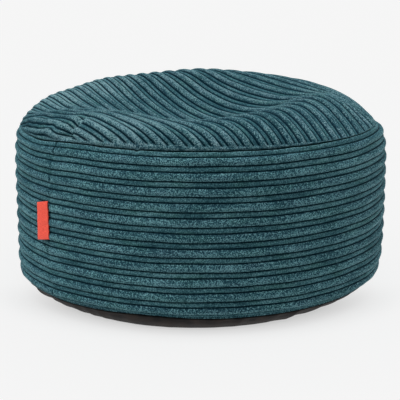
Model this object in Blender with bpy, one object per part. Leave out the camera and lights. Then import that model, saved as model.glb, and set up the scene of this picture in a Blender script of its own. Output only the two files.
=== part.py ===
"""Round bean-filled footstool in ribbed cord: top panel, side band, base panel and seam tab.

Metres, +Z up. The origin is on the floor under the middle of the stool, and -Y is its front.
The filling is shared out between the three panels, so each is one closed solid.
"""
import math

import bmesh
import bpy
import numpy as np

# Overall sizes.
BELLY_RADIUS = 0.275        # the widest ribs of the side band
SEAM_RADIUS = 0.264         # the seam round the top panel
SEAM_HEIGHT = 0.2500        # at the front
BACK_DROP = 0.007           # how much lower the top seam lies at the back
DROP_START = 0.200          # the band shares in that drop above this height
SIDE_SAG = 0.0045           # the whole left side has sunk this much,
SEAM_SAG = 0.0030           # and the top seam there this much more
SAG_HALF_WIDTH = math.radians(54)
SAG_RAMP = math.radians(24)
PULL_DEPTH = 0.010          # the top seam is drawn in at its right end
PULL_ANGLE = math.radians(8)
PULL_SPREAD = math.radians(20)
PULL_START = 0.228          # the band shares in that above this height
BASE_SEAM_RADIUS = 0.2574   # the seam round the base panel
BASE_SEAM_HEIGHT = 0.0208
FLAT_RADIUS = 0.2228        # where the base rests on the floor
TOP_LEAN = -0.0020          # the top seam's middle towards +X
BASE_LEAN = (-0.0025, -0.0038)      # the base seam's middle towards +X and +Y
FLOOR_LEAN = (-0.0075, -0.0095)     # the middle of the ring that it stands on
GAP = 0.0004                # kept between neighbouring pieces

# The cord: wide and narrow ribs in turn, with a groove between each two.
WIDE_RIB = 0.0125
NARROW_RIB = 0.0080
GROOVE_DEPTH = 0.0042       # under the wide ribs' tops
NARROW_INSET = 0.0020       # the narrow ribs' pile is cut this much shorter
SHOULDER = 0.0019           # from a groove's bottom to the rib's full height
SEAM_INSET = 0.0022         # how far the band's sewn edges turn in
HEM = 0.006                 # the top's ribs are pressed flat this close to its edge

# The side band, from its top seam down: the radius of its ribs, and where each ring's middle lies.
SIDE_SECTIONS = (
    # height, radius, middle towards +X, middle towards +Y
    (SEAM_HEIGHT, 0.2662, TOP_LEAN, 0.0),
    (0.2433, 0.2699, -0.0018, 0.0),
    (0.2310, 0.2722, -0.0008, 0.0),
    (0.2107, 0.2745, -0.0002, 0.0),
    (0.1823, BELLY_RADIUS, 0.0, 0.0),
    (0.1500, BELLY_RADIUS, 0.0, 0.0),
    (0.1080, 0.2747, -0.0002, 0.0),
    (0.0590, 0.2738, -0.0010, -0.0005),
    (0.0390, 0.2720, -0.0015, -0.0012),
    (0.0272, 0.2674, -0.0020, -0.0022),
    (BASE_SEAM_HEIGHT, 0.2598, *BASE_LEAN),
)
FIRST_GROOVE = 0.0073       # along the band from the top seam; a narrow rib lies above it
MERIDIANS = 54
JOIN_ANGLE = math.radians(-138.6)   # the band's one upright seam, at the left of the front
JOIN_HALF_WIDTH = 0.0045
JOIN_DEPTH = 0.0032

# The base panel, from the floor up to its seam: its radius, and where each ring's middle lies.
BASE_SECTIONS = (
    # height, radius, middle towards +X, middle towards +Y
    (0.0, FLAT_RADIUS, *FLOOR_LEAN),
    (0.0015, 0.2300, -0.0072, -0.0090),
    (0.0055, 0.2393, -0.0062, -0.0078),
    (0.0125, 0.2502, -0.0045, -0.0060),
    (BASE_SEAM_HEIGHT - GAP, BASE_SEAM_RADIUS, *BASE_LEAN),
)

# The top panel: a dome that leaves its seam steeply, uneven round its rim, with a dimple.
CROWN_RISE = 0.0402
CROWN_POWER = 7.09          # how far out the dome stays full
CROWN_EDGE = 0.40           # how steeply it leaves its seam, below 1 for a bulging edge
RIM_WAVES = (
    # waves round the rim, rise towards +X, rise towards +Y
    (1, -0.0335, 0.0285),
    (2, -0.0065, -0.0015),
    (3, 0.0060, 0.0130),
)
DIMPLE = {"x": -0.056, "y": 0.0617, "half_x": 0.126, "half_y": 0.2128, "turn": 0.597,
          "depth": 0.0649, "edge": 1.21}
SWELLS = (
    # x, y, rise, spread
    (-0.176, -0.094, -0.0070, 0.049),
    (0.116, -0.169, 0.0375, 0.101),
    (-0.006, 0.200, 0.0040, 0.041),
    (0.180, 0.048, 0.0065, 0.120),
    (0.199, -0.067, 0.0340, 0.088),
    (-0.232, 0.009, -0.0375, 0.083),
    (-0.219, 0.136, -0.0175, 0.073),
    (0.265, -0.057, -0.0120, 0.069),
)
TUCK_ANGLE = math.radians(-133.4)   # one fold where the cloth is eased into the seam
TUCK_START = 0.217                  # from here out to the hem
TUCK_RAMP = 0.028                   # over which it deepens
TUCK_DEPTH = 0.009
TUCK_HALF_WIDTH = 0.011
RIB_TURN = math.radians(32.4)       # the top's ribs run this far round from front to back
FIRST_TOP_GROOVE = -0.2149          # a groove before a wide rib, measured across the cut cloth
RIB_COLUMNS = 18
EDGE_MARGIN = 0.0004                # the outermost ribs stop this far inside the rim
SPLIT_DEPTH = 0.070                 # how far the split under the top panel dips at its middle

# The folded tape sewn into the band's upright seam.
TAB_TOP = 0.163
TAB_BOTTOM = 0.109
TAB_WIDTH = 0.024
TAB_THICKNESS = 0.0016
TAB_STEPS = 8

COLOURS = {
    # name: linear red, green and blue, and roughness
    "teal_cord": ((0.038, 0.125, 0.158), 0.95),
    "charcoal_cloth": ((0.035, 0.039, 0.041), 0.90),
    "red_tape": ((0.780, 0.130, 0.105), 0.75),
}


def material(name):
    """The Principled material of one cloth."""
    colour, roughness = COLOURS[name]
    made = bpy.data.materials.get(name) or bpy.data.materials.new(name)
    made.use_nodes = True
    shader = made.node_tree.nodes["Principled BSDF"]
    shader.inputs["Base Color"].default_value = (*colour, 1.0)
    shader.inputs["Roughness"].default_value = roughness
    shader.inputs["Metallic"].default_value = 0.0
    return made


def add_object(name, bm, cloth):
    """Put a finished mesh in the scene under its sub-part's name."""
    bmesh.ops.recalc_face_normals(bm, faces=bm.faces)
    mesh = bpy.data.meshes.new(name)
    bm.to_mesh(mesh)
    bm.free()
    mesh.materials.append(material(cloth))
    made = bpy.data.objects.new(name, mesh)
    bpy.context.collection.objects.link(made)
    return made


def add_ring(bm, points):
    """Vertices round a closed ring."""
    return [bm.verts.new(point) for point in points]


def join_rings(bm, lower, upper):
    """Quads between two rings of equal length."""
    count = len(lower)
    for i in range(count):
        after = (i + 1) % count
        bm.faces.new((lower[i], lower[after], upper[after], upper[i]))


def close_to_point(bm, ring, point):
    """Triangles from a ring to one point."""
    tip = bm.verts.new(point)
    for i, vertex in enumerate(ring):
        bm.faces.new((vertex, ring[(i + 1) % len(ring)], tip))


def smooth_line(rows, steps=24):
    """A smooth line through the rows, by Catmull-Rom, as an array of points."""
    points = np.array(rows)
    before = 2 * points[0] - points[1]
    after = 2 * points[-1] - points[-2]
    guides = np.vstack([before, points, after])
    line = []
    for i in range(1, len(guides) - 2):
        a, b, c, d = guides[i - 1:i + 3]
        for t in np.arange(steps) / steps:
            line.append(0.5 * (2 * b + (c - a) * t + (2 * a - 5 * b + 4 * c - d) * t ** 2
                               + (3 * b - a - 3 * c + d) * t ** 3))
    line.append(points[-1])
    return np.array(line)


def lengths_along(line):
    """The distance along a line's section, its first two columns, at each of its points."""
    steps = np.linalg.norm(np.diff(line[:, :2], axis=0), axis=1)
    return np.concatenate([[0.0], np.cumsum(steps)])


def rib_stations(first_groove, end, wide_first):
    """Distances across the cord from a groove to an end, each with how far the cloth lies in."""
    stations = []
    groove = first_groove
    wide = wide_first
    while groove < end:
        rib = WIDE_RIB if wide else NARROW_RIB
        inset = 0.0 if wide else NARROW_INSET
        stations.append((groove, GROOVE_DEPTH))
        stations.append((groove + SHOULDER, inset))
        stations.append((groove + rib - SHOULDER, inset))
        groove += rib
        wide = not wide
    return [station for station in stations if station[0] < end - SHOULDER]


def meridian_angles():
    """Angles round the stool, with three close together at the upright seam."""
    seam_step = JOIN_HALF_WIDTH / BELLY_RADIUS
    rest = np.linspace(seam_step, 2 * math.pi - seam_step, MERIDIANS - 1)
    return JOIN_ANGLE + np.concatenate([[0.0], rest])


def smooth_step(value):
    """A soft ramp from 0 to 1."""
    share = np.clip(value, 0.0, 1.0)
    return share ** 2 * (3.0 - 2.0 * share)


def left_share(angle):
    """How fully an angle belongs to the left side, which has sunk."""
    from_left = np.abs(np.mod(angle, 2 * math.pi) - math.pi)
    return smooth_step((SAG_HALF_WIDTH - from_left) / SAG_RAMP)


def seam_drop(angle):
    """How far the top seam lies below the band's own sag, towards the back and the left."""
    back = BACK_DROP * smooth_step(0.5 + np.sin(angle) / 0.9)
    return back + SEAM_SAG * left_share(angle)


def seam_pull(angle):
    """How far the top seam is drawn in, round its right end."""
    return PULL_DEPTH * np.exp(-((angle - PULL_ANGLE) / PULL_SPREAD) ** 2)


def make_side_panel():
    """The band: rings along its section, drawn in at each groove and at the upright seam."""
    line = smooth_line(SIDE_SECTIONS)
    along = lengths_along(line)
    heading = np.gradient(line, along, axis=0)
    angles = meridian_angles()
    stations = [(0.0, SEAM_INSET), (SHOULDER, 0.0), (FIRST_GROOVE - SHOULDER, NARROW_INSET)]
    stations += rib_stations(FIRST_GROOVE, along[-1], True)
    stations.append((along[-1], SEAM_INSET))

    bm = bmesh.new()
    rings = []
    for distance, inset in stations:
        section = (np.interp(distance, along, column) for column in line.T)
        height, radius, middle_x, middle_y = section
        down, out = (np.interp(distance, along, heading[:, k]) for k in (0, 1))
        drop_share = max(height - DROP_START, 0.0) / (SEAM_HEIGHT - DROP_START)
        pull_share = max(height - PULL_START, 0.0) / (SEAM_HEIGHT - PULL_START)
        clearance = 2 * GAP if distance == 0.0 else 0.0
        depth = np.full(len(angles), inset)
        depth[0] = max(inset, JOIN_DEPTH)
        reach = radius + down * depth - pull_share ** 2 * seam_pull(angles)
        level = height - out * depth - clearance - drop_share * seam_drop(angles)
        level -= SIDE_SAG * left_share(angles)
        x = middle_x + reach * np.cos(angles)
        y = middle_y + reach * np.sin(angles)
        rings.append(add_ring(bm, np.column_stack([x, y, level])))
    for upper, lower in zip(rings, rings[1:]):
        join_rings(bm, lower, upper)
    close_to_point(bm, rings[0], (TOP_LEAN, 0.0, SEAM_HEIGHT - SPLIT_DEPTH - 2 * GAP))
    close_to_point(bm, rings[-1], (*BASE_LEAN, BASE_SEAM_HEIGHT + GAP))
    return add_object("side_panel", bm, "teal_cord")


def make_base_panel():
    """The base: flat where it rests, curving up to its seam."""
    angles = meridian_angles()
    bm = bmesh.new()
    rings = []
    for height, radius, middle_x, middle_y in BASE_SECTIONS:
        x = middle_x + radius * np.cos(angles)
        y = middle_y + radius * np.sin(angles)
        level = height * (1.0 - SIDE_SAG / BASE_SEAM_HEIGHT * left_share(angles))
        rings.append(add_ring(bm, np.column_stack([x, y, level])))
    for lower, upper in zip(rings, rings[1:]):
        join_rings(bm, lower, upper)
    bm.faces.new(rings[0])
    close_to_point(bm, rings[-1], (*BASE_LEAN, BASE_SEAM_HEIGHT - GAP))
    return add_object("base_panel", bm, "charcoal_cloth")


def dome(share):
    """The plain dome's fullness at a share of the seam's radius."""
    return (1.0 - share ** CROWN_POWER) ** CROWN_EDGE


def crown_height(x, y):
    """The top panel's height over a point, measured from the middle of its seam."""
    share = np.minimum(np.hypot(x, y) / SEAM_RADIUS, 1.0)
    angle = np.arctan2(y, x)
    rise = np.full(np.shape(x), CROWN_RISE)
    for waves, cosine, sine in RIM_WAVES:
        rise += share ** waves * (cosine * np.cos(waves * angle) + sine * np.sin(waves * angle))
    turn_cos, turn_sin = math.cos(DIMPLE["turn"]), math.sin(DIMPLE["turn"])
    from_x, from_y = x - DIMPLE["x"], y - DIMPLE["y"]
    across = (from_x * turn_cos + from_y * turn_sin) / DIMPLE["half_x"]
    along = (from_y * turn_cos - from_x * turn_sin) / DIMPLE["half_y"]
    rise -= DIMPLE["depth"] * np.exp(-(across ** 2 + along ** 2) ** DIMPLE["edge"])
    for swell_x, swell_y, swell, spread in SWELLS:
        rise += swell * np.exp(-((x - swell_x) ** 2 + (y - swell_y) ** 2) / spread ** 2)
    drop = seam_drop(angle) + SIDE_SAG * left_share(angle)
    return SEAM_HEIGHT - share ** 4 * drop + dome(share) * rise


def cut_to_plan():
    """Radii on the flat-cut disc and the radii over the floor that they come to."""
    share = 1.0 - np.linspace(1.0, 0.0, 800) ** 3
    plan = SEAM_RADIUS * share
    cut = lengths_along(np.column_stack([plan, CROWN_RISE * dome(share)]))
    return cut, plan


def lay_on_crown(u, v, cut, plan):
    """Points of the cut disc laid on the crown."""
    radius = np.hypot(u, v)
    scale = np.interp(radius, cut, plan) / np.maximum(radius, 1e-9)
    x, y = u * scale, v * scale
    share = np.hypot(x, y) / SEAM_RADIUS
    drawn_in = 1.0 - share ** 3 * seam_pull(np.arctan2(y, x)) / SEAM_RADIUS
    return np.stack([x * drawn_in, y * drawn_in, crown_height(x, y)], axis=-1)


def tuck_depth(x, y):
    """How far the fold at the left of the front draws the cloth in."""
    outward = x * math.cos(TUCK_ANGLE) + y * math.sin(TUCK_ANGLE)
    beside = y * math.cos(TUCK_ANGLE) - x * math.sin(TUCK_ANGLE)
    start = np.clip((outward - TUCK_START) / TUCK_RAMP, 0.0, 1.0)
    return TUCK_DEPTH * start * np.exp(-(beside / TUCK_HALF_WIDTH) ** 2)


def row_columns(across, edge):
    """Distances along one rib for its points, three of them drawn to the tuck where it crosses."""
    reach = math.sqrt(edge ** 2 - across ** 2)
    along = reach * np.sin(np.linspace(-1.0, 1.0, RIB_COLUMNS + 1) * math.pi / 2)
    outward = across / math.cos(TUCK_ANGLE - RIB_TURN)
    crossing = outward * math.sin(TUCK_ANGLE - RIB_TURN)
    if TUCK_START < outward < edge - HEM:
        nearest = int(np.clip(np.abs(along - crossing).argmin(), 2, RIB_COLUMNS - 2))
        beside = 1.4 * TUCK_HALF_WIDTH
        along[nearest - 1:nearest + 2] = crossing - beside, crossing, crossing + beside
        along.sort()
    return along


def make_top_panel():
    """The top: rows of points along its ribs, laid on the crown, over a shallow cone."""
    cut, plan = cut_to_plan()
    edge = cut[-1]
    pair = WIDE_RIB + NARROW_RIB
    first = FIRST_TOP_GROOVE - pair * math.floor((FIRST_TOP_GROOVE + edge) / pair)
    stations = [(-edge + EDGE_MARGIN, 0.0)]
    stations += [row for row in rib_stations(first, edge, True) if row[0] > -edge + SHOULDER]
    stations.append((edge - EDGE_MARGIN, 0.0))
    turn_cos, turn_sin = math.cos(RIB_TURN), math.sin(RIB_TURN)
    step = 0.0002   # for the crown's slope

    bm = bmesh.new()
    rows = []
    for across, inset in stations:
        along = row_columns(across, edge)
        u = across * turn_cos - along * turn_sin
        v = across * turn_sin + along * turn_cos
        inner = 1.0 - step / edge
        place = lay_on_crown(u, v, cut, plan)
        beside_u = lay_on_crown(u * inner + step, v * inner, cut, plan)
        beside_v = lay_on_crown(u * inner, v * inner + step, cut, plan)
        centre = lay_on_crown(u * inner, v * inner, cut, plan)
        normal = np.cross(beside_u - centre, beside_v - centre)
        normal /= np.linalg.norm(normal, axis=1, keepdims=True)
        fade = np.clip((edge - np.hypot(u, v)) / HEM, 0.0, 1.0)[:, None]
        tuck = tuck_depth(place[:, 0], place[:, 1])[:, None]
        middle = np.array([TOP_LEAN, 0.0, 0.0])
        rows.append(add_ring(bm, middle + place - normal * (inset + tuck) * fade))
    for row, after in zip(rows, rows[1:]):
        for k in range(RIB_COLUMNS):
            bm.faces.new((row[k], row[k + 1], after[k + 1], after[k]))
    left = [row[0] for row in rows]
    right = [row[-1] for row in rows]
    rim = left + rows[-1][1:-1] + right[::-1] + rows[0][1:-1][::-1]
    close_to_point(bm, rim, (TOP_LEAN, 0.0, SEAM_HEIGHT - SPLIT_DEPTH))
    return add_object("top_panel", bm, "teal_cord")


def make_seam_tab():
    """The tape: a thin folded strip that lies on the ribs beside the upright seam."""
    line = smooth_line(SIDE_SECTIONS)[::-1]
    bm = bmesh.new()
    loops = []
    for k in range(TAB_STEPS + 1):
        height = TAB_BOTTOM + (TAB_TOP - TAB_BOTTOM) * k / TAB_STEPS
        radius, middle_x, middle_y = (np.interp(height, line[:, 0], line[:, k]) for k in (1, 2, 3))
        inner = radius + GAP
        root = JOIN_ANGLE - 0.0008 / BELLY_RADIUS
        tip = root - TAB_WIDTH / BELLY_RADIUS
        middle = 0.5 * (root + tip)
        corners = [(inner, root), (inner, middle), (inner, tip)]
        corners += [(inner + TAB_THICKNESS, angle) for _, angle in reversed(corners)]
        reach, angle = np.array(corners).T
        x = middle_x + reach * np.cos(angle)
        y = middle_y + reach * np.sin(angle)
        loops.append(add_ring(bm, np.column_stack([x, y, np.full(len(x), height)])))
    for lower, upper in zip(loops, loops[1:]):
        join_rings(bm, lower, upper)
    bm.faces.new(loops[0])
    bm.faces.new(loops[-1])
    return add_object("seam_tab", bm, "red_tape")


for old in list(bpy.data.objects):
    bpy.data.objects.remove(old, do_unlink=True)
make_side_panel()
make_base_panel()
make_top_panel()
make_seam_tab()
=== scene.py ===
import math

import bmesh
import bpy
import numpy as np
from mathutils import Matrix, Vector, noise


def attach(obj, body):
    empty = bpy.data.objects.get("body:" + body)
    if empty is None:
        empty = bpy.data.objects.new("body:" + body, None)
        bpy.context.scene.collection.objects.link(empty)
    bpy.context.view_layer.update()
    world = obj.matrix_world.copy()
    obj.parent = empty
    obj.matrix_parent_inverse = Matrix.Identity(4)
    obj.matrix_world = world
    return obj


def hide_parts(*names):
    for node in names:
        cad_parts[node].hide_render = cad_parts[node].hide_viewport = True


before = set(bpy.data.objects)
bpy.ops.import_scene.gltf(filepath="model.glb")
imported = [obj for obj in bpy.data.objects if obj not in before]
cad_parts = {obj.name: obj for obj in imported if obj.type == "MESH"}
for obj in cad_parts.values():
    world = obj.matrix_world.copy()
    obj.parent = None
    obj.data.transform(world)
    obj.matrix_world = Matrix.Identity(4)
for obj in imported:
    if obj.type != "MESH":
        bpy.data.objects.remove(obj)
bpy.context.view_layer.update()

# ---------------------------------------------------------------------------------------------
# The side band: a strip of jumbo cord with its ribs lengthwise, wrapped round the bean filling
# and closed by one upright seam at the left of the front. Its edges turn in to the top and base
# seams. It starts as a flat grid, the cut strip, and its points are moved as a sculptor would.
# ---------------------------------------------------------------------------------------------
BELLY_RADIUS = 0.275
SEAM_HEIGHT = 0.2500
BACK_DROP = 0.007           # the top seam lies this much lower at the back,
BACK_RAMP = 0.9             # over this much of the stool's depth, as a share of its radius,
DROP_START = 0.200          # and the band shares in that above this height
SIDE_SAG = 0.0045           # the whole left side has sunk this much,
SEAM_SAG = 0.0030           # and the top seam there this much more
SAG_HALF_WIDTH = math.radians(54)
SAG_RAMP = math.radians(24)
PULL_DEPTH = 0.010          # the top seam is drawn in at its right end
PULL_ANGLE = math.radians(8)
PULL_SPREAD = math.radians(20)
PULL_START = 0.228          # the band shares in that above this height
BASE_SEAM_HEIGHT = 0.0208
TOP_LEAN = -0.0020          # the top seam's middle towards +X
BASE_LEAN = (-0.0025, -0.0038)      # the base seam's middle towards +X and +Y
WIDE_RIB = 0.0125
NARROW_RIB = 0.0080
PAIR = WIDE_RIB + NARROW_RIB
PILE_HEIGHT = 0.0056        # of a wide rib over its grooves
NARROW_HEIGHT = 0.0034      # a narrow rib's pile is cut shorter
RIB_TOP_POWER = 2.2         # a rib's section: a higher power is a flatter top,
RIB_SIDE_POWER = 0.55       # and a lower one is steeper sides
BAND_SECTIONS = (
    # height, radius of the rib tops, middle towards +X, middle towards +Y
    (SEAM_HEIGHT, 0.2662, TOP_LEAN, 0.0),
    (0.2433, 0.2699, -0.0018, 0.0),
    (0.2310, 0.2722, -0.0008, 0.0),
    (0.2107, 0.2745, -0.0002, 0.0),
    (0.1823, BELLY_RADIUS, 0.0, 0.0),
    (0.1500, BELLY_RADIUS, 0.0, 0.0),
    (0.1080, 0.2747, -0.0002, 0.0),
    (0.0590, 0.2738, -0.0010, -0.0005),
    (0.0390, 0.2720, -0.0015, -0.0012),
    (0.0272, 0.2674, -0.0020, -0.0022),
    (BASE_SEAM_HEIGHT, 0.2598, *BASE_LEAN),
)
BAND_FIRST_GROOVE = 0.0073  # from the top seam down to the first groove over a wide rib
BAND_COLUMNS = 516
COLUMN_CROWDING = 0.8       # how much closer the columns stand at the upright seam
EDGE_HOLD = 0.003           # the cloth is held still this close to its sewn edges,
EDGE_EASE = 0.012           # and lies free this much further in
TURN_IN = 0.0008            # how far a sewn edge goes in
TURN_IN_WIDTH = 0.0007
SEAM_GAP = 0.0002           # a sewn edge stands this far off its seam line
CLOSER_GAP = 0.0012         # hidden cones close two neighbours, at least this far apart
PRESSED = 0.75              # share by which the topmost rib is flatter at the seam
PRESSED_WIDTH = 0.0022
RIB_WANDER = 0.0009         # how far the ribs wander, in lumps this long
WANDER_SIZE = 0.055
BULGE = 0.0013              # how far the filling pushes the cloth in and out
BULGE_SIZE = 0.085
RUMPLE = 0.0005             # and how far it does so in small lumps
RUMPLE_SIZE = 0.022
JOIN_LINE = (
    # height, angle of the upright seam, which leans a little
    (0.043, math.radians(-139.2)),
    (0.060, math.radians(-140.6)),
    (0.100, math.radians(-140.4)),
    (0.183, math.radians(-139.0)),
    (0.219, math.radians(-138.2)),
    (0.250, math.radians(-136.7)),
)
JOIN_DEPTH = 0.0030         # the stitches' notches in the ribs beside the upright seam
JOIN_HALF_WIDTH = 0.0010
STITCH_SIZE = 0.012         # the notches grow and shrink over lengths like this,
STITCH_MEAN = 0.7           # about this share of their depth,
STITCH_SWING = 1.6          # by this much at most either way,
STITCH_RANGE = (0.1, 1.5)   # and between these shares
NOTCH_SHADE = 0.8           # how dark the pile is painted in a notch of the full depth, as painted shade
JOIN_MISMATCH = 0.0016      # the ribs of the strip's far end were laid this much out of line,
JOIN_DRAW = 0.012           # and the stitches draw them into line over this length only
JOIN_HOLD = 0.028           # they stay wholly out of line for this share of the way round,
JOIN_EASE = 0.10            # and have eased back into line by this share
SEAM_RIPPLE = 0.0006        # how far the top seam line wavers up and down,
RIPPLE_SIZE = 0.020         # in lumps this long
WAVE_REACH = 0.008          # the waver fades out over about this distance from the seam
NICK_ANGLE = math.radians(-108)     # one stitch has pulled the seam down here
NICK_DEPTH = 0.0020
NICK_HALF_WIDTH = math.radians(0.7)
SPLIT_DEPTH = 0.070         # the filling's split under the top panel dips this far
RISES = (
    # angle, how far the base seam is drawn up there, spread
    (math.radians(-148), 0.0040, math.radians(9)),
    (math.radians(-106), 0.0024, math.radians(13)),
)
RISE_REACH = 0.007          # the rises fade out over about this distance up the band
EDGE_PILE_WIDTH = 0.0016    # the grooves' darker tone and painted shade are left out this close to a sewn edge
BAND_DARKENING = -0.07       # the band's pile is darker all over by this much,
BAND_PAINTED_LIGHT = (
    # angle, how much paler it is painted there, as painted light, spread
    (math.radians(-145), 0.04, math.radians(24)),
)


def smooth_line(rows, steps=24):
    """A smooth line through the rows, by Catmull-Rom, as an array of points."""
    points = np.array(rows)
    guides = np.vstack([2 * points[0] - points[1], points, 2 * points[-1] - points[-2]])
    line = []
    for i in range(1, len(guides) - 2):
        a, b, c, d = guides[i - 1:i + 3]
        for t in np.arange(steps) / steps:
            line.append(0.5 * (2 * b + (c - a) * t + (2 * a - 5 * b + 4 * c - d) * t ** 2
                               + (3 * b - a - 3 * c + d) * t ** 3))
    line.append(points[-1])
    return np.array(line)


def lengths_along(line):
    """The distance along a line's section, its first two columns, at each of its points."""
    steps = np.linalg.norm(np.diff(line[:, :2], axis=0), axis=1)
    return np.concatenate([[0.0], np.cumsum(steps)])


def smooth_step(value):
    """A soft ramp from 0 to 1."""
    share = np.clip(value, 0.0, 1.0)
    return share * share * (3.0 - 2.0 * share)


def drift(points, size, seed):
    """Smooth noise from -1 to 1 at points, with lumps of the given size."""
    shift = Vector((seed * 17.3, seed * 5.1, seed * 9.7))
    flat = points.reshape(-1, points.shape[-1])
    values = [noise.noise(Vector(point) / size + shift) for point in flat]
    return np.array(values).reshape(points.shape[:-1])


def rib_rows(first_groove, start, end):
    """Distances across the cord for a mesh's rows, closer together beside the grooves."""
    wide_shares = (0.0, 0.035, 0.1, 0.225, 0.4, 0.6, 0.775, 0.9, 0.965)
    narrow_shares = (0.0, 0.06, 0.19, 0.39, 0.61, 0.81, 0.94)
    rows = []
    groove = first_groove - PAIR * math.ceil((first_groove - start) / PAIR)
    while groove < end:
        rows += [groove + WIDE_RIB * share for share in wide_shares]
        rows += [groove + WIDE_RIB + NARROW_RIB * share for share in narrow_shares]
        groove += PAIR
    return np.array([row for row in rows if start < row < end])


def sewn_rows(rows, start, end):
    """The rows with closer ones beside the two sewn edges."""
    edge_rows = np.array([0.0, 0.0006, 0.0012, 0.0020, 0.0030])
    kept_off = 0.0036
    inner = rows[(rows > start + kept_off) & (rows < end - kept_off)]
    return np.concatenate([start + edge_rows, inner, (end - edge_rows)[::-1]])


def pile_sink(across):
    """How far the cloth lies under its rib tops, at distances from a groove before a wide rib."""
    place = np.mod(across, PAIR)
    wide = place < WIDE_RIB
    share = np.where(wide, place / WIDE_RIB, (place - WIDE_RIB) / NARROW_RIB)
    hollow = np.abs(2.0 * share - 1.0) ** RIB_TOP_POWER
    fullness = np.maximum(1.0 - hollow, 0.0) ** RIB_SIDE_POWER
    height = np.where(wide, PILE_HEIGHT, NARROW_HEIGHT)
    return PILE_HEIGHT - height * fullness


def left_share(angle):
    """How fully an angle belongs to the left side, which has sunk."""
    from_left = np.abs(np.mod(angle, 2 * math.pi) - math.pi)
    return smooth_step((SAG_HALF_WIDTH - from_left) / SAG_RAMP)


def seam_drop(angle):
    """How far the top seam lies below the band's own sag, towards the back and the left."""
    back = BACK_DROP * smooth_step(0.5 + np.sin(angle) / BACK_RAMP)
    return back + SEAM_SAG * left_share(angle)


def seam_pull(angle):
    """How far the top seam is drawn in, round its right end."""
    return PULL_DEPTH * np.exp(-((angle - PULL_ANGLE) / PULL_SPREAD) ** 2)


def seam_wave(angle):
    """How the top seam line wavers, with the one stitch that pulls it down."""
    circle = np.column_stack([np.cos(angle), np.sin(angle), np.zeros(len(angle))])
    nick = NICK_DEPTH * np.exp(-((angle - NICK_ANGLE) / NICK_HALF_WIDTH) ** 2)
    return SEAM_RIPPLE * drift(circle * BELLY_RADIUS, RIPPLE_SIZE, 8) - nick


def bearing_of(angle):
    """An angle brought between -pi and pi."""
    return np.mod(angle + math.pi, 2 * math.pi) - math.pi


def humps(at, rows):
    """How high soft humps stand at some places, from rows of a hump's place, size and spread."""
    return sum(size * np.exp(-((at - place) / wide) ** 2) for place, size, wide in rows)


def cut_cloth(name, columns, rows):
    """A flat grid of cloth, the cut piece, with the grid column and row of each of its points."""
    bpy.ops.object.select_all(action="DESELECT")
    bpy.ops.mesh.primitive_grid_add(x_subdivisions=columns, y_subdivisions=rows, size=2.0)
    piece = bpy.context.object
    piece.name = name
    piece.data.name = name
    count = len(piece.data.vertices)
    places = np.empty(count * 3)
    piece.data.vertices.foreach_get("co", places)
    places = places.reshape(count, 3)
    column = np.rint((places[:, 0] + 1.0) * 0.5 * columns).astype(int)
    row = np.rint((places[:, 1] + 1.0) * 0.5 * rows).astype(int)
    return piece, column, row


def lay_cloth(piece, points, along, across, **marks):
    """Move a cut piece's points to their places, and keep its flat lengths as a UV map and its
    marks, such as its painted light and shade, as attributes."""
    mesh = piece.data
    mesh.vertices.foreach_set("co", points.ravel())
    corner_points = np.empty(len(mesh.loops), dtype=int)
    mesh.loops.foreach_get("vertex_index", corner_points)
    mesh.uv_layers[0].name = "cloth"
    flat = np.column_stack([along, across])[corner_points]
    mesh.uv_layers["cloth"].data.foreach_set("uv", flat.ravel())
    for name, values in marks.items():
        mesh.attributes.new(name, "FLOAT", "POINT").data.foreach_set("value", values)
    mesh.update()


def close_rim(piece, keep, tip):
    """Close one open edge of a piece with a shallow cone, behind its neighbour."""
    bpy.ops.object.mode_set(mode="EDIT")
    bpy.ops.mesh.select_mode(type="VERT")
    bpy.ops.mesh.select_all(action="DESELECT")
    bm = bmesh.from_edit_mesh(piece.data)
    for edge in bm.edges:
        if edge.is_boundary and keep(edge.verts[0].co):
            edge.select_set(True)
    bmesh.update_edit_mesh(piece.data)
    bpy.ops.mesh.extrude_region_move(TRANSFORM_OT_translate={"value": (0.0, 0.0, 0.0)})
    bpy.ops.mesh.merge(type="CENTER")
    bm = bmesh.from_edit_mesh(piece.data)
    for vertex in bm.verts:
        if vertex.select:
            vertex.co = tip
    bmesh.update_edit_mesh(piece.data)
    bpy.ops.object.mode_set(mode="OBJECT")


def weld(piece):
    """Join a piece's coinciding edges into one."""
    bpy.ops.object.mode_set(mode="EDIT")
    bpy.ops.mesh.select_all(action="SELECT")
    bpy.ops.mesh.remove_doubles(threshold=0.00002)
    bpy.ops.object.mode_set(mode="OBJECT")


def finish_cloth(piece, material):
    """Face outwards, shade smooth and give the cloth its material."""
    bpy.ops.object.mode_set(mode="EDIT")
    bpy.ops.mesh.select_all(action="SELECT")
    bpy.ops.mesh.normals_make_consistent(inside=False)
    bpy.ops.object.mode_set(mode="OBJECT")
    bpy.ops.object.shade_smooth()
    piece.data.materials.append(material)


def linear(colour):
    """An sRGB hex colour as linear red, green, blue and alpha."""
    parts = [int(colour[i:i + 2], 16) / 255 for i in (0, 2, 4)]
    light = [c / 12.92 if c <= 0.04045 else ((c + 0.055) / 1.055) ** 2.4 for c in parts]
    return (*light, 1.0)


def add_node(tree, kind, settings=None, inputs=None):
    """A node with its settings, and with a value or another node's socket on each input."""
    node = tree.nodes.new(kind)
    for name, value in (settings or {}).items():
        setattr(node, name, value)
    for name, source in (inputs or {}).items():
        if isinstance(source, bpy.types.NodeSocket):
            tree.links.new(source, node.inputs[name])
        else:
            node.inputs[name].default_value = source
    return node


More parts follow.
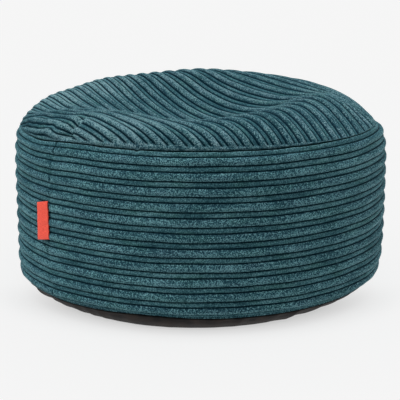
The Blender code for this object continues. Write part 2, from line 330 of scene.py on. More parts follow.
def cord_pile(name, shade_width, level_contrast, painted_side_shade, narrow_tone_and_painted_shade, tip_and_gleam_colour):
    """Jumbo corduroy: cut polyester pile in brushed ribs. Its grooves are darker, partly for the
    darker ground cloth and partly as painted shade. It shows a speckle of tufts, stronger on
    the wide ribs, and its tips catch a broad gleam and their pale colour is greyed as a painted
    gleam. One side of each wide rib is painted darker and the other paler, as painted shade
    and light. Called for the top panel with wider painted shade at the grooves, more contrast,
    less painted shade on one side of its wide ribs, and darker narrow ribs, as painted shade."""
    made = bpy.data.materials.new(name)
    made.use_nodes = True
    tree = made.node_tree
    shader = tree.nodes["Principled BSDF"]
    millimetre = 0.001
    tuft_size = 1.5 * millimetre
    tuft_contrast = 2.2         # on the narrow ribs, and twice this on the wide ones
    brush_length, brush_width = 30 * millimetre, 5 * millimetre
    brush_contrast = 0.7
    patch_size = 70 * millimetre
    patch_contrast = 0.6
    painted_side_light = 0.12          # painted light on one side of each wide rib, across from the painted shade

    def maths(operation, *values):
        node = add_node(tree, "ShaderNodeMath", {"operation": operation},
                        {i: value for i, value in enumerate(values)})
        return node.outputs[0]

    def ramp(value, low, high, to_low=0.0, to_high=1.0):
        node = add_node(tree, "ShaderNodeMapRange", {"interpolation_type": "SMOOTHSTEP"},
                        {0: value, 1: low, 2: high, 3: to_low, 4: to_high})
        return node.outputs[0]

    def tone(factor, first, second):
        node = add_node(tree, "ShaderNodeMix", {"data_type": "RGBA"},
                        {0: factor, 6: first, 7: second})
        return node.outputs[2]

    def fibre_noise(length, width, detail, rough, seed):
        place = add_node(tree, "ShaderNodeMapping", None,
                         {"Vector": cloth.outputs["UV"], "Scale": (1 / length, 1 / width, 1.0),
                          "Location": (seed * 3.7, seed * 1.9, seed * 2.3)})
        node = add_node(tree, "ShaderNodeTexNoise", None,
                        {"Vector": place.outputs[0], "Scale": 1.0, "Detail": detail,
                         "Roughness": rough})
        return node.outputs["Fac"]

    cloth = add_node(tree, "ShaderNodeUVMap", {"uv_map": "cloth"})
    flat = add_node(tree, "ShaderNodeSeparateXYZ", None, {0: cloth.outputs["UV"]})
    across = flat.outputs["Y"]
    hem = add_node(tree, "ShaderNodeAttribute", {"attribute_name": "hem"}).outputs["Fac"]
    notch = add_node(tree, "ShaderNodeAttribute", {"attribute_name": "notch"}).outputs["Fac"]
    brushing = add_node(tree, "ShaderNodeAttribute",
                        {"attribute_name": "brushing"}).outputs["Fac"]

    # Where on its rib a point lies: the distance to the nearest groove, and wide or narrow.
    place = maths("WRAP", across, PAIR, 0.0)
    to_pair_end = maths("PINGPONG", across, PAIR / 2)
    to_middle = maths("ABSOLUTE", maths("SUBTRACT", place, WIDE_RIB))
    to_groove = maths("MINIMUM", to_pair_end, to_middle)
    # The grooves are darker, partly for the darker ground cloth and partly as painted shade.
    groove = ramp(to_groove, 0.2 * shade_width, shade_width, 1.0, 0.0)
    groove = maths("MULTIPLY", groove, maths("SUBTRACT", 1.0, hem))
    groove = maths("MAXIMUM", groove, notch)
    wide = maths("MAXIMUM", maths("LESS_THAN", place, WIDE_RIB), hem)

    # The tufts' speckle, the brushed streaks along the ribs, and the wider lie of the nap.
    tufts = fibre_noise(tuft_size, tuft_size, 1.0, 0.7, 1)
    streaks = fibre_noise(brush_length, brush_width, 2.0, 0.55, 2)
    nap = fibre_noise(patch_size, patch_size * 0.6, 2.0, 0.5, 3)
    hue = fibre_noise(brush_length * 1.4, 3 * brush_width, 2.0, 0.5, 4)
    speckle = maths("MULTIPLY", maths("SUBTRACT", tufts, 0.5),
                    maths("MULTIPLY_ADD", wide, tuft_contrast, tuft_contrast))
    brushed = maths("MULTIPLY_ADD", maths("SUBTRACT", streaks, 0.5), brush_contrast, speckle)
    lie = maths("MULTIPLY_ADD", maths("SUBTRACT", nap, 0.5), patch_contrast, brushed)
    # Painted light and shade over parts of the piece, and a darker tone all over, from its marks.
    lie = maths("ADD", lie, brushing)
    # Painted shade darkens one side of each wide rib and painted light brightens the other; the
    # narrow ribs are darker on the top, as painted shade, and paler on the band, their own tone.
    painted_rib_shading = ramp(place, 0.28 * WIDE_RIB, 0.56 * WIDE_RIB, narrow_tone_and_painted_shade - painted_side_shade,
                   narrow_tone_and_painted_shade + painted_side_light)
    lie = maths("MULTIPLY", maths("MULTIPLY_ADD", wide, painted_rib_shading, lie), level_contrast)
    level = maths("ADD", lie, 0.5 - narrow_tone_and_painted_shade * level_contrast)

    # From painted shade through the teal body, with a plum cast here and there, to the pale tips.
    plum = maths("MULTIPLY", ramp(hue, 0.5, 0.75), maths("MULTIPLY", wide, 0.5))
    body = tone(ramp(hue, 0.3, 0.5), linear("2f5759"), linear("2f555d"))
    body = tone(plum, body, linear("3c5262"))
    dark = tone(ramp(level, 0.0, 0.5), linear("122e38"), body)
    # The pale tips are greyed, partly as a painted gleam.
    pile = tone(ramp(level, 0.5, 1.0), dark, linear(tip_and_gleam_colour))
    groove_cloth_and_painted_shade = tone(groove, pile, linear("001b27"))
    tree.links.new(groove_cloth_and_painted_shade, shader.inputs["Base Color"])

    rough = ramp(level, 0.0, 1.0, 0.75, 0.55)
    tree.links.new(rough, shader.inputs["Roughness"])
    shader.inputs["Specular IOR Level"].default_value = 0.05
    shader.inputs["Sheen Weight"].default_value = 0.15
    shader.inputs["Sheen Roughness"].default_value = 0.4
    shader.inputs["Sheen Tint"].default_value = linear("3c98a6")

    bump = add_node(tree, "ShaderNodeBump", None,
                    {"Height": tufts, "Strength": 0.9, "Distance": 0.9 * millimetre})
    tree.links.new(bump.outputs[0], shader.inputs["Normal"])
    return made


band_line = smooth_line(BAND_SECTIONS)
band_along = lengths_along(band_line)
band_heading = np.gradient(band_line, band_along, axis=0)
band_width = band_along[-1]
band_rows = sewn_rows(rib_rows(BAND_FIRST_GROOVE, 0.0, band_width), 0.0, band_width)
side_band, column, row = cut_cloth("side_band", BAND_COLUMNS, len(band_rows) - 1)

share = column / BAND_COLUMNS
round_share = share - COLUMN_CROWDING / (2 * math.pi) * np.sin(2 * math.pi * share)
down = band_rows[row]
join_heights, join_angles = np.array(JOIN_LINE).T
rest_height = np.interp(down, band_along, band_line[:, 0])
angle = np.interp(rest_height, join_heights, join_angles) + 2 * math.pi * round_share
arc = 2 * math.pi * BELLY_RADIUS * round_share
girth = 2 * math.pi * BELLY_RADIUS
from_join = np.minimum(arc, girth - arc)
from_edge = np.minimum(down, band_width - down)

# The strip's ribs wander a little, and its ends were sewn together slightly out of line.
circle = np.column_stack([np.cos(angle), np.sin(angle)]) * BELLY_RADIUS
on_band = np.column_stack([circle, rest_height])
inside_edges = smooth_step((from_edge - EDGE_HOLD) / EDGE_EASE)
wander = RIB_WANDER * drift(on_band * (1.0, 1.0, 1.6), WANDER_SIZE, 1)
slip = -JOIN_MISMATCH * smooth_step((JOIN_EASE - 1.0 + round_share) / (JOIN_EASE - JOIN_HOLD))
slip *= 1.0 - np.exp(-from_join / JOIN_DRAW)
distance = down + inside_edges * (wander + slip)
height, radius, middle_x, middle_y = (np.interp(distance, band_along, values)
                                      for values in band_line.T)
fall = np.interp(distance, band_along, band_heading[:, 0])
spread = np.interp(distance, band_along, band_heading[:, 1])

# The pile's relief, less high at the top seam. The upright seam's stitches notch the rib tops,
# some deeply and some hardly, and the filling bulges behind the cloth.
pressed = np.exp(-(down / PRESSED_WIDTH) ** 2)
sink = pile_sink(down - BAND_FIRST_GROOVE) * (1.0 - PRESSED * pressed)
stitched = STITCH_MEAN + STITCH_SWING * drift(on_band, STITCH_SIZE, 11)
stitched = np.clip(stitched, *STITCH_RANGE)
notched = stitched * (1.0 - sink / PILE_HEIGHT) * np.exp(-(from_join / JOIN_HALF_WIDTH) ** 2)
sink += JOIN_DEPTH * notched
sink += TURN_IN * np.exp(-(from_edge / TURN_IN_WIDTH) ** 2)
sink -= inside_edges * BULGE * drift(on_band, BULGE_SIZE, 2)
sink -= inside_edges * RUMPLE * drift(on_band * (1.0, 1.0, 2.0), RUMPLE_SIZE, 3)

# The sunk left side, the drawn-in right end and the wavering seams.
drop_share = np.maximum(height - DROP_START, 0.0) / (SEAM_HEIGHT - DROP_START)
pull_share = np.maximum(height - PULL_START, 0.0) / (SEAM_HEIGHT - PULL_START)
reach = radius + fall * sink - pull_share ** 2 * seam_pull(angle)
level = height - spread * sink - drop_share * seam_drop(angle) - SIDE_SAG * left_share(angle)
level -= SEAM_GAP * np.exp(-(down / TURN_IN_WIDTH) ** 2)
bearing = bearing_of(angle)
level += seam_wave(bearing) * np.exp(-down / WAVE_REACH)
level += humps(bearing, RISES) * np.exp(-(band_width - down) / RISE_REACH)
points = np.column_stack([middle_x + reach * np.cos(angle), middle_y + reach * np.sin(angle),
                          level])
# The marks carry painted shade in the notches, and painted light and a darker tone over the band.
lay_cloth(side_band, points, arc, down - BAND_FIRST_GROOVE,
          hem=np.exp(-(from_edge / EDGE_PILE_WIDTH) ** 2),
          notch=np.minimum(NOTCH_SHADE * notched, 1.0),
          brushing=humps(bearing, BAND_PAINTED_LIGHT) + BAND_DARKENING)
weld(side_band)
close_rim(side_band, lambda place: place.z > DROP_START,
          (TOP_LEAN, 0.0, SEAM_HEIGHT - SPLIT_DEPTH - CLOSER_GAP))
close_rim(side_band, lambda place: place.z < DROP_START,
          (*BASE_LEAN, BASE_SEAM_HEIGHT + CLOSER_GAP))
finish_cloth(side_band, cord_pile("polyester_corduroy_teal", shade_width=0.0016, level_contrast=1.0,
                                  painted_side_shade=0.16, narrow_tone_and_painted_shade=-0.06, tip_and_gleam_colour="5f878e"))
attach(side_band, "root")
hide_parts("side_panel")

# ---------------------------------------------------------------------------------------------
# The top panel: a disc of the same cord, eased into the top seam over the loose filling, which
# heaps up round the rim and leaves a dimple. Its ribs run slantwise from front to back, are
# pressed flat at the hem, and fold into one tuck above the upright seam.
# ---------------------------------------------------------------------------------------------
SEAM_RADIUS = 0.264
CROWN_RISE = 0.0402         # of the plain dome over its seam
CROWN_POWER = 7.09          # how late the dome falls towards the rim,
CROWN_EDGE = 0.40           # and how bluntly
RIM_WAVES = (
    # waves round the rim, rise towards +X, rise towards +Y
    (1, -0.0335, 0.0285),
    (2, -0.0065, -0.0015),
    (3, 0.0060, 0.0130),
)
DIMPLE = {"x": -0.056, "y": 0.0617, "half_x": 0.126, "half_y": 0.2128, "turn": 0.597,
          "depth": 0.0649, "edge": 1.21}
SWELLS = (
    # x, y, rise, spread
    (-0.176, -0.094, -0.0070, 0.049),
    (0.116, -0.169, 0.0375, 0.101),
    (-0.006, 0.200, 0.0040, 0.041),
    (0.180, 0.048, 0.0065, 0.120),
    (0.199, -0.067, 0.0340, 0.088),
    (-0.232, 0.009, -0.0375, 0.083),
    (-0.219, 0.136, -0.0175, 0.073),
    (0.265, -0.057, -0.0120, 0.069),
)
RIB_TURN = math.radians(32.4)       # the ribs run along +Y, turned this much towards -X
TOP_FIRST_GROOVE = -0.2149  # across the disc from its middle, to a groove before a wide rib
TOP_COLUMNS = 214
TOP_END = 0.0004            # the outermost rows stop this short of the disc's edge
END_CROWDING = 0.75         # how much closer the columns stand at the rim
RIM_HOLD = 0.004            # the cloth is held still this close to the seam,
RIM_EASE = 0.020            # and lies free this much further in
TOP_WANDER = 0.0011         # how far the ribs wander, in lumps this long
TOP_WANDER_SIZE = 0.060
TOP_BULGE = 0.0012          # how far the filling pushes the cloth in and out
TOP_BULGE_SIZE = 0.080
HEM = 0.0055                # the ribs are pressed flat this close to the seam
HEM_FADE = 0.0040
HEM_SINK = 0.15             # share of the pile's height by which the hem lies lower
HEM_RAG = 0.0014            # how far its edge wavers, in lumps this long
RAG_SIZE = 0.006
NARROWER_HEM = 0.7          # share by which the hem is narrower at the left of the rim
HEM_ROLL = 0.0009           # the hem rolls up this high,
ROLL_SWING = 0.8            # give or take this share of it,
ROLL_PLACE = 0.0040         # at this distance from the seam
ROLL_WIDTH = 0.0026
EASED_PLACE = 0.270         # the ribs nearest the left of the rim are crumpled by the seam
EASED_SPREAD = 0.030
SEAM_GRIP = 0.012           # but less so where it holds them, this close to it
CRUMPLES = (
    # place along the ribs, how far they are pushed inwards, spread
    (-0.017, 0.0048, 0.012),
    (0.016, -0.0024, 0.012),
    (-0.046, -0.0030, 0.013),
)
RUCK = 0.0022               # how far they wander besides, in lumps this long
RUCK_SIZE = 0.026
PUFF = 0.0034               # and how far they puff up and sink
PUFF_SIZE = 0.024
FLATTENING = 0.50           # the ribs stand less high over the left of the rim,
FLAT_FROM_RIM = 0.085       # as far in from it as this,
FLAT_CORNER = (-0.09, -0.09)        # and to the left of and behind this place,
FLAT_RAMPS = (0.08, 0.06, 0.030)    # over these lengths along X, along Y and from the rim
TUCK_ANGLE = math.radians(-133.4)
TUCK_START = 0.217          # from the middle,
TUCK_RAMP = 0.028           # and it is whole this much further out
TUCK_DEPTH = 0.010
TUCK_HALF_WIDTH = 0.009
TUCK_END = 0.008            # the tuck runs out this close to the seam
TOP_GAP_WIDTH = 0.002       # the gap to the band fades out over this distance from the seam
TOP_DARKENING = -0.09        # the top's pile is darker all over by this much,
DIMPLE_PAINTED_SHADE = -0.02     # a little more in the dimple, as painted shade,
HEM_DARKENING = -0.08        # and more on the hem
HEAP_START = 0.55           # the heaped rim lies outside this share of the seam's radius,
HEAP_RAMP = 0.30            # and is whole this much further out
RIM_PAINTED_LIGHT_AND_SHADE = (
    # angle, how much painted light the heaped rim gets there, painted shade below nought, spread
    (math.radians(-118), 0.24, math.radians(28)),
    (math.radians(-70), -0.10, math.radians(28)),
    (math.radians(8), 0.09, math.radians(34)),
    (math.radians(150), 0.36, math.radians(34)),
    (math.radians(-160), -0.12, math.radians(18)),
)


def dome(share):
    """The plain dome's fullness at a share of the seam's radius."""
    return (1.0 - share ** CROWN_POWER) ** CROWN_EDGE


def crown_height(x, y):
    """The top panel's height over a point, measured from the middle of its seam."""
    share = np.minimum(np.hypot(x, y) / SEAM_RADIUS, 1.0)
    turn = np.arctan2(y, x)
    rise = np.full(np.shape(x), CROWN_RISE)
    for waves, cosine, sine in RIM_WAVES:
        rise += share ** waves * (cosine * np.cos(waves * turn) + sine * np.sin(waves * turn))
    turn_cos, turn_sin = math.cos(DIMPLE["turn"]), math.sin(DIMPLE["turn"])
    from_x, from_y = x - DIMPLE["x"], y - DIMPLE["y"]
    over = (from_x * turn_cos + from_y * turn_sin) / DIMPLE["half_x"]
    beside = (from_y * turn_cos - from_x * turn_sin) / DIMPLE["half_y"]
    rise -= DIMPLE["depth"] * np.exp(-(over ** 2 + beside ** 2) ** DIMPLE["edge"])
    for swell_x, swell_y, swell, spread_out in SWELLS:
        away = (x - swell_x) ** 2 + (y - swell_y) ** 2
        rise += swell * np.exp(-away / spread_out ** 2)
    drop = seam_drop(turn) + SIDE_SAG * left_share(turn)
    return SEAM_HEIGHT - share ** 4 * drop + dome(share) * rise


# How long the cloth is from the middle of the plain dome to each radius in plan.
plan_radii = SEAM_RADIUS * (1.0 - np.linspace(1.0, 0.0, 800) ** 3)
plain_dome = np.column_stack([plan_radii, CROWN_RISE * dome(plan_radii / SEAM_RADIUS)])
cut_radii = lengths_along(plain_dome)
disc_radius = cut_radii[-1]


def lay_on_crown(u, v):
    """Points of the cut disc laid on the crown."""
    cut = np.hypot(u, v)
    scale = np.interp(cut, cut_radii, plan_radii) / np.maximum(cut, 1e-9)
    x, y = u * scale, v * scale
    share = np.hypot(x, y) / SEAM_RADIUS
    drawn_in = 1.0 - share ** 3 * seam_pull(np.arctan2(y, x)) / SEAM_RADIUS
    return np.stack([x * drawn_in, y * drawn_in, crown_height(x, y)], axis=-1)


def crown_normal(u, v):
    """The crown's outward direction at points of the cut disc."""
    step = 0.0002
    inner = 1.0 - step / disc_radius
    centre = lay_on_crown(u * inner, v * inner)
    to_u = lay_on_crown(u * inner + step, v * inner) - centre
    to_v = lay_on_crown(u * inner, v * inner + step) - centre
    normal = np.cross(to_u, to_v)
    return normal / np.linalg.norm(normal, axis=1, keepdims=True)


top_rows = sewn_rows(rib_rows(TOP_FIRST_GROOVE, -disc_radius, disc_radius),
                     -disc_radius + TOP_END, disc_radius - TOP_END)
top_cover, column, row = cut_cloth("top_cover", TOP_COLUMNS, len(top_rows) - 1)
across = top_rows[row]
share = 2.0 * column / TOP_COLUMNS - 1.0
eased = END_CROWDING * np.sin(share * math.pi / 2) + (1.0 - END_CROWDING) * share
along = np.sqrt(disc_radius ** 2 - across ** 2) * eased
turn_cos, turn_sin = math.cos(RIB_TURN), math.sin(RIB_TURN)
flat_points = np.column_stack([across, along, np.zeros(len(across))])
from_rim = disc_radius - np.hypot(across, along)
inside_rim = smooth_step((from_rim - RIM_HOLD) / RIM_EASE)
eased_in = np.exp(-((across + EASED_PLACE) / EASED_SPREAD) ** 2)
loose = eased_in * smooth_step(from_rim / SEAM_GRIP)
wandered = across + inside_rim * TOP_WANDER * drift(flat_points, TOP_WANDER_SIZE, 4)
wandered += loose * (humps(along, CRUMPLES) + RUCK * drift(flat_points, RUCK_SIZE, 22))
u = wandered * turn_cos - along * turn_sin
v = wandered * turn_sin + along * turn_cos
points = lay_on_crown(u, v)
normal = crown_normal(u, v)

# The ribs fade into the pressed hem, which rolls over and turns in to the seam.
ragged = drift(points, RAG_SIZE, 5)
hem_width = HEM * (1.0 - NARROWER_HEM * eased_in)
ribbed = smooth_step((from_rim - hem_width + HEM_RAG * ragged) / HEM_FADE)
flattened = smooth_step((FLAT_CORNER[0] - points[:, 0]) / FLAT_RAMPS[0])
flattened *= smooth_step((points[:, 1] - FLAT_CORNER[1]) / FLAT_RAMPS[1])
flattened *= smooth_step((FLAT_FROM_RIM - from_rim) / FLAT_RAMPS[2])
sink = pile_sink(across - TOP_FIRST_GROOVE) * ribbed * (1.0 - FLATTENING * flattened)
sink += (1.0 - ribbed) * PILE_HEIGHT * HEM_SINK
rolled = np.exp(-((from_rim - ROLL_PLACE) / ROLL_WIDTH) ** 2)
sink -= HEM_ROLL * (1.0 + ROLL_SWING * ragged) * rolled
sink -= inside_rim * TOP_BULGE * drift(points, TOP_BULGE_SIZE, 6)
sink -= loose * PUFF * drift(points, PUFF_SIZE, 42)

# The tuck runs inwards above the upright seam, along a line through the middle.
outward = points[:, 0] * math.cos(TUCK_ANGLE) + points[:, 1] * math.sin(TUCK_ANGLE)
beside = points[:, 1] * math.cos(TUCK_ANGLE) - points[:, 0] * math.sin(TUCK_ANGLE)
tuck = smooth_step((outward - TUCK_START) / TUCK_RAMP) * smooth_step(from_rim / TUCK_END)
sink += TUCK_DEPTH * tuck * np.exp(-(beside / TUCK_HALF_WIDTH) ** 2)
points -= normal * sink[:, None]
turned_in = TURN_IN * np.exp(-(from_rim / TURN_IN_WIDTH) ** 2)
rim_radius = np.hypot(points[:, 0], points[:, 1])
points[:, :2] *= (1.0 - turned_in / rim_radius)[:, None]
points[:, 2] += SEAM_GAP * np.exp(-(from_rim / TOP_GAP_WIDTH) ** 2)
bearing = np.arctan2(v, u)
points[:, 2] += seam_wave(bearing) * np.exp(-from_rim / WAVE_REACH)
points[:, 0] += TOP_LEAN

# Painted light pales much of the heaped rim; painted shade darkens parts of it and the dimple.
from_middle = np.hypot(points[:, 0], points[:, 1]) / SEAM_RADIUS
heaped = smooth_step((from_middle - HEAP_START) / HEAP_RAMP)
brushing = TOP_DARKENING + DIMPLE_PAINTED_SHADE * (1.0 - heaped) + HEM_DARKENING * (1.0 - ribbed)
brushing += heaped * humps(bearing, RIM_PAINTED_LIGHT_AND_SHADE)
lay_cloth(top_cover, points, along, across - TOP_FIRST_GROOVE, hem=1.0 - ribbed,
          brushing=brushing)
close_rim(top_cover, lambda place: True, (TOP_LEAN, 0.0, SEAM_HEIGHT - SPLIT_DEPTH))
# The top's own copy of the cord: wider painted shade at the grooves, more contrast, darker narrow
# ribs and greyer tips, as painted light and shade for how the top is lit.
finish_cloth(top_cover, cord_pile("polyester_corduroy_teal_top_painted_light", shade_width=0.0027,
                                  level_contrast=1.05, painted_side_shade=0.12, narrow_tone_and_painted_shade=0.06,
                                  tip_and_gleam_colour="648086"))
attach(top_cover, "root")
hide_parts("top_panel")

# ---------------------------------------------------------------------------------------------
# The base panel: a disc of charcoal polyester oxford cloth, flat under the filling's weight and
# drawn up in shallow puckers to the base seam.
# ---------------------------------------------------------------------------------------------
FLOOR_LEAN = (-0.0075, -0.0095)     # the middle of the ring that it stands on
BASE_SECTIONS = (
    # height, radius, middle towards +X, middle towards +Y
    (0.0, 0.2228, *FLOOR_LEAN),
    (0.0015, 0.2300, -0.0072, -0.0090),
    (0.0055, 0.2393, -0.0062, -0.0078),
    (0.0125, 0.2502, -0.0045, -0.0060),
    (BASE_SEAM_HEIGHT - 0.0004, 0.2574, *BASE_LEAN),
)
NARROWINGS = (
    # angle, how far the ring stands in, spread
    (math.radians(-41), 0.0095, math.radians(20)),
    (math.radians(-142), 0.0075, math.radians(22)),
)
BASE_COLUMNS = 360
FLAT_RINGS = 11             # rings of points on the flat underside
PUCKER_DEPTH = 0.0022       # the puckers, this long round the seam,
PUCKER_SIZE = 0.017
PUCKER_START = 0.006        # are whole at this height,
PUCKER_END = 0.004          # run out this close to the seam,
PUCKER_RISE = 0.6           # and stand up by this share of their depth


def oxford_cloth():
    """Coated polyester oxford: a basket of charcoal threads, dull, with a faint sheen."""
    made = bpy.data.materials.new("polyester_oxford_charcoal")
    made.use_nodes = True
    tree = made.node_tree
    shader = tree.nodes["Principled BSDF"]
    thread = 0.0011     # drawn at twice the real spacing, so that it shows
    cloth = add_node(tree, "ShaderNodeUVMap", {"uv_map": "cloth"})
    flat = add_node(tree, "ShaderNodeSeparateXYZ", None, {0: cloth.outputs["UV"]})
    waves = []
    for axis in ("X", "Y"):
        turns = add_node(tree, "ShaderNodeMath", {"operation": "MULTIPLY"},
                         {0: flat.outputs[axis], 1: math.pi / thread})
        wave = add_node(tree, "ShaderNodeMath", {"operation": "SINE"}, {0: turns.outputs[0]})
        waves.append(wave.outputs[0])
    basket = add_node(tree, "ShaderNodeMath", {"operation": "MULTIPLY"},
                      {0: waves[0], 1: waves[1]})
    wear = add_node(tree, "ShaderNodeTexNoise", None,
                    {"Vector": cloth.outputs["UV"], "Scale": 60.0, "Detail": 3.0})
    worn = add_node(tree, "ShaderNodeMapRange", None,
                    {0: wear.outputs["Fac"], 1: 0.32, 2: 0.68})
    level = add_node(tree, "ShaderNodeMath", {"operation": "MULTIPLY_ADD"},
                     {0: basket.outputs[0], 1: 0.2, 2: worn.outputs[0]})
    colour = add_node(tree, "ShaderNodeMix", {"data_type": "RGBA"},
                      {0: level.outputs[0], 6: linear("0d0c0d"), 7: linear("312b28")})
    tree.links.new(colour.outputs[2], shader.inputs["Base Color"])
    rough = add_node(tree, "ShaderNodeMapRange", None,
                     {0: level.outputs[0], 3: 0.72, 4: 0.9})
    tree.links.new(rough.outputs[0], shader.inputs["Roughness"])
    shader.inputs["Specular IOR Level"].default_value = 0.2
    shader.inputs["Sheen Weight"].default_value = 0.05
    bump = add_node(tree, "ShaderNodeBump", None,
                    {"Height": basket.outputs[0], "Strength": 0.4, "Distance": 0.0003})
    tree.links.new(bump.outputs[0], shader.inputs["Normal"])
    return made


base_line = smooth_line(BASE_SECTIONS, 8)
base_along = lengths_along(base_line) + BASE_SECTIONS[0][1]
flat_rings = np.linspace(0.02, 1.0, FLAT_RINGS + 1)[:-1] * BASE_SECTIONS[0][1]
base_rings = np.concatenate([flat_rings, base_along])
base_cloth, column, row = cut_cloth("base_cloth", BASE_COLUMNS, len(base_rings) - 1)
angle = 2 * math.pi * column / BASE_COLUMNS
cut = base_rings[row]
height, radius, middle_x, middle_y = (np.interp(cut, base_along, values)
                                      for values in base_line.T)
radius = np.where(cut < base_along[0], cut, radius)
circle = np.column_stack([np.cos(angle), np.sin(angle), np.zeros(len(angle))])
from_seam = base_along[-1] - cut
lifted = smooth_step(height / PUCKER_START) * smooth_step(from_seam / PUCKER_END)
pucker = PUCKER_DEPTH * lifted * drift(circle * BELLY_RADIUS, PUCKER_SIZE, 7)
turned_in = TURN_IN * np.exp(-(from_seam / TURN_IN_WIDTH) ** 2)
bearing = bearing_of(angle)
narrowed = humps(bearing, NARROWINGS)
up = height / BASE_SEAM_HEIGHT
flat_share = np.minimum(cut / base_along[0], 1.0)
reach = radius - pucker - turned_in - narrowed * (1.0 - up) * flat_share
level = height - up * SIDE_SAG * left_share(angle) + PUCKER_RISE * pucker
level += up ** 2 * humps(bearing, RISES)
points = np.column_stack([middle_x + reach * np.cos(angle), middle_y + reach * np.sin(angle),
                          level])
lay_cloth(base_cloth, points, cut * np.cos(angle), cut * np.sin(angle))
weld(base_cloth)
close_rim(base_cloth, lambda place: place.z < BASE_SEAM_HEIGHT / 2, (*FLOOR_LEAN, 0.0))
close_rim(base_cloth, lambda place: place.z > BASE_SEAM_HEIGHT / 2,
          (*BASE_LEAN, BASE_SEAM_HEIGHT - CLOSER_GAP / 2))
finish_cloth(base_cloth, oxford_cloth())
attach(base_cloth, "root")
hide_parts("base_panel")

# ---------------------------------------------------------------------------------------------
# The seam tab: a woven red tape folded in two, its ends caught in the band's upright seam. It
# is plain, lies to the left of the seam over the ribs, and its fold stands a little proud.
# ---------------------------------------------------------------------------------------------
TAB_TOP = 0.163
TAB_BOTTOM = 0.109
TAB_LENGTH = 0.0215
TAB_ROOT = math.radians(-139.7)
TAB_DROOP = 0.0050          # its fold hangs this much lower than its sewn ends
TAB_PROUD = 0.0006          # it lies this far off the rib tops at the seam,
FOLD_PROUD = 0.0022         # and this much further at its fold
TAB_HOLD = 0.007            # the stitches press it to the ribs over about this length,
STITCH_BITE = 0.0004        # and sink it this far
HELD_DIP = 0.15             # share of the ribs' relief that it follows where it is held,
FREE_DIP = 0.05             # and where it is free
FOOT_NARROWING = 0.0012     # it is narrower at its foot
TAPE_THICKNESS = 0.0005
TAPE_GAP = 0.0003
TAB_STEPS = 54
TAB_RUN_STEPS = 20


def woven_tape():
    """Polyester satin tape: fine red weft over the warp, smooth, with a low silky shine."""
    made = bpy.data.materials.new("polyester_woven_tape_red")
    made.use_nodes = True
    tree = made.node_tree
    shader = tree.nodes["Principled BSDF"]
    thread = 0.0009     # drawn at twice the real spacing, so that it shows
    cloth = add_node(tree, "ShaderNodeUVMap", {"uv_map": "cloth"})
    flat = add_node(tree, "ShaderNodeSeparateXYZ", None, {0: cloth.outputs["UV"]})
    turns = add_node(tree, "ShaderNodeMath", {"operation": "MULTIPLY"},
                     {0: flat.outputs["Y"], 1: 2 * math.pi / thread})
    weft = add_node(tree, "ShaderNodeMath", {"operation": "SINE"}, {0: turns.outputs[0]})
    stretch = add_node(tree, "ShaderNodeMapping", None,
                       {"Vector": cloth.outputs["UV"], "Scale": (900.0, 250.0, 1.0)})
    slub = add_node(tree, "ShaderNodeTexNoise", None,
                    {"Vector": stretch.outputs[0], "Scale": 1.0, "Detail": 2.0})
    level = add_node(tree, "ShaderNodeMath", {"operation": "MULTIPLY_ADD"},
                     {0: weft.outputs[0], 1: 0.18, 2: slub.outputs["Fac"]})
    colour = add_node(tree, "ShaderNodeMix", {"data_type": "RGBA"},
                      {0: level.outputs[0], 6: linear("b92b1e"), 7: linear("f86450")})
    tree.links.new(colour.outputs[2], shader.inputs["Base Color"])
    shader.inputs["Roughness"].default_value = 0.6
    shader.inputs["Specular IOR Level"].default_value = 0.25
    bump = add_node(tree, "ShaderNodeBump", None,
                    {"Height": level.outputs[0], "Strength": 0.35, "Distance": 0.0002})
    tree.links.new(bump.outputs[0], shader.inputs["Normal"])
    return made


# The tape's path in plan: out along the band, round its fold, and back under itself.
layer = TAPE_THICKNESS + TAPE_GAP
run = np.linspace(0.0, TAB_LENGTH, TAB_RUN_STEPS)
bend = np.linspace(0.0, math.pi, 9)[1:-1]
path_out = np.concatenate([run, TAB_LENGTH + 0.5 * layer * np.sin(bend), run[::-1]])
path_lift = np.concatenate([np.full(TAB_RUN_STEPS, layer),
                            0.5 * layer * (1 + np.cos(bend)), np.zeros(TAB_RUN_STEPS)])
tape_length = lengths_along(np.column_stack([path_out, path_lift]))
seam_tape, column, row = cut_cloth("seam_tape", TAB_STEPS, len(path_out) - 1)
out = path_out[row]
lift = path_lift[row]
level = TAB_BOTTOM + (TAB_TOP - TAB_BOTTOM) * column / TAB_STEPS
band_down = np.interp(-level, -band_line[:, 0], band_along)
band_radius, middle_x, middle_y = (np.interp(-level, -band_line[:, 0], values)
                                   for values in band_line[:, 1:].T)
held = np.exp(-(out / TAB_HOLD) ** 2)
proud = TAB_PROUD + FOLD_PROUD * smooth_step(out / TAB_LENGTH)
dips = pile_sink(band_down - BAND_FIRST_GROOVE)
reach = band_radius + proud + lift - held * (HELD_DIP * dips + STITCH_BITE)
reach -= FREE_DIP * (1 - held) * dips
level -= TAB_DROOP * out / TAB_LENGTH
narrower = FOOT_NARROWING * (TAB_TOP - level) / (TAB_TOP - TAB_BOTTOM)
tab_angle = TAB_ROOT - (out - narrower * (1.0 - 2.0 * out / TAB_LENGTH)) / BELLY_RADIUS
points = np.column_stack([middle_x + reach * np.cos(tab_angle),
                          middle_y + reach * np.sin(tab_angle), level])
lay_cloth(seam_tape, points, level - TAB_BOTTOM, tape_length[row])
bpy.ops.object.modifier_add(type="SOLIDIFY")
solidify = seam_tape.modifiers[-1]
solidify.thickness = TAPE_THICKNESS
solidify.offset = 0.0
bpy.ops.object.modifier_apply(modifier=solidify.name)
finish_cloth(seam_tape, woven_tape())
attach(seam_tape, "root")
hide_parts("seam_tab")

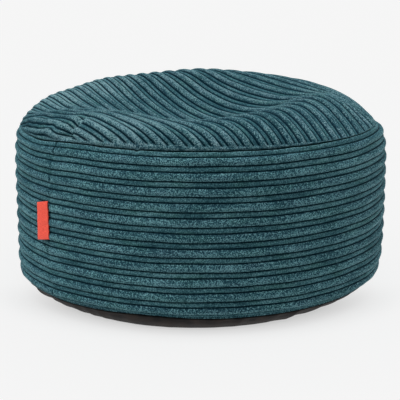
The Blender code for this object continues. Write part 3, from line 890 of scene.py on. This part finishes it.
# ---------------------------------------------------------------------------------------------
# The stage: a pale floor lit partly from within, like a light table, under soft studio boxes.
# ---------------------------------------------------------------------------------------------
FLOOR_SIZE = 60.0
SHADE_REACH = 0.075         # the stool's soft shade reaches this far over the floor,
SHADE_START = -0.02         # and falls forwards, from nothing at this place along Y
SHADE_WHOLE = -0.17         # to all of it at this one
PAPER_GLOW = 0.822          # of the open floor
SHADE_GLOW = 0.37           # and of the deepest shade
SKY_STRENGTH = 0.30
CAMERA_PLACE = (-0.0013, -1.91967, 0.5923)
CAMERA_PITCH = math.radians(13.7966)
CAMERA_LENS = 118.0
SENSOR_WIDTH = 36.0
LIGHTS = (
    # name, direction it comes from, height of that direction, width as an angle, strength
    ("left_box", math.radians(-165), math.radians(55), math.radians(50), 2.8),
    ("right_box", math.radians(15), math.radians(35), math.radians(50), 1.3),
    ("top_box", math.radians(-80), math.radians(84), math.radians(50), 1.7),
)

bpy.ops.object.select_all(action="DESELECT")
bpy.ops.mesh.primitive_plane_add(size=FLOOR_SIZE)
floor = bpy.context.object
floor.name = "floor"
paper = bpy.data.materials.new("matt_paper_white")
paper.use_nodes = True
tree = paper.node_tree
tree.nodes.clear()
matt = add_node(tree, "ShaderNodeBsdfDiffuse", None, {"Color": linear("999999")})
# What stands close in front of and above the paper shades it.
facing = add_node(tree, "ShaderNodeCombineXYZ", None, {"X": 0.0, "Y": -0.8, "Z": 0.6})
near = add_node(tree, "ShaderNodeAmbientOcclusion", {"samples": 16},
                {"Distance": SHADE_REACH, "Normal": facing.outputs[0]})
place = add_node(tree, "ShaderNodeNewGeometry")
axes = add_node(tree, "ShaderNodeSeparateXYZ", None, {"Vector": place.outputs["Position"]})
forward = add_node(tree, "ShaderNodeMapRange", {"interpolation_type": "SMOOTHSTEP"},
                   {0: axes.outputs["Y"], 1: SHADE_START, 2: SHADE_WHOLE})
hidden = add_node(tree, "ShaderNodeMath", {"operation": "SUBTRACT"},
                  {0: 1.0, 1: near.outputs["AO"]})
shade = add_node(tree, "ShaderNodeMath", {"operation": "MULTIPLY"},
                 {0: hidden.outputs[0], 1: forward.outputs[0]})
lit = add_node(tree, "ShaderNodeMapRange", None,
               {0: shade.outputs[0], 3: PAPER_GLOW, 4: SHADE_GLOW})
glow = add_node(tree, "ShaderNodeEmission", None,
                {"Color": linear("ffffff"), "Strength": lit.outputs[0]})
both = add_node(tree, "ShaderNodeAddShader", None, {0: matt.outputs[0], 1: glow.outputs[0]})
add_node(tree, "ShaderNodeOutputMaterial", None, {"Surface": both.outputs[0]})
floor.data.materials.append(paper)

# The lamps light the stool alone, so the floor keeps only the soft shade close under it.
glowing = bpy.data.collections.new("lit_by_the_sky_alone")
glowing.objects.link(floor)
for member in glowing.collection_objects:
    member.light_linking.link_state = "EXCLUDE"

world = bpy.data.worlds.new("studio")
bpy.context.scene.world = world
world.use_nodes = True
sky = world.node_tree.nodes["Background"]
sky.inputs["Color"].default_value = linear("ffffff")
sky.inputs["Strength"].default_value = SKY_STRENGTH
for name, bearing, climb, width, strength in LIGHTS:
    bpy.ops.object.light_add(type="SUN", location=(0.0, 0.0, 3.0))
    lamp = bpy.context.object
    lamp.name = name
    lamp.data.energy = strength
    lamp.data.angle = width
    lamp.light_linking.receiver_collection = glowing
    source = Vector((math.cos(bearing) * math.cos(climb), math.sin(bearing) * math.cos(climb),
                     math.sin(climb)))
    lamp.rotation_euler = source.to_track_quat("Z", "Y").to_euler()

bpy.ops.object.camera_add(location=CAMERA_PLACE,
                          rotation=(math.pi / 2 - CAMERA_PITCH, 0.0, 0.0))
camera = bpy.context.object
camera.data.sensor_width = SENSOR_WIDTH
camera.data.lens = CAMERA_LENS
bpy.context.scene.camera = camera
bpy.context.scene.view_settings.view_transform = "Standard"
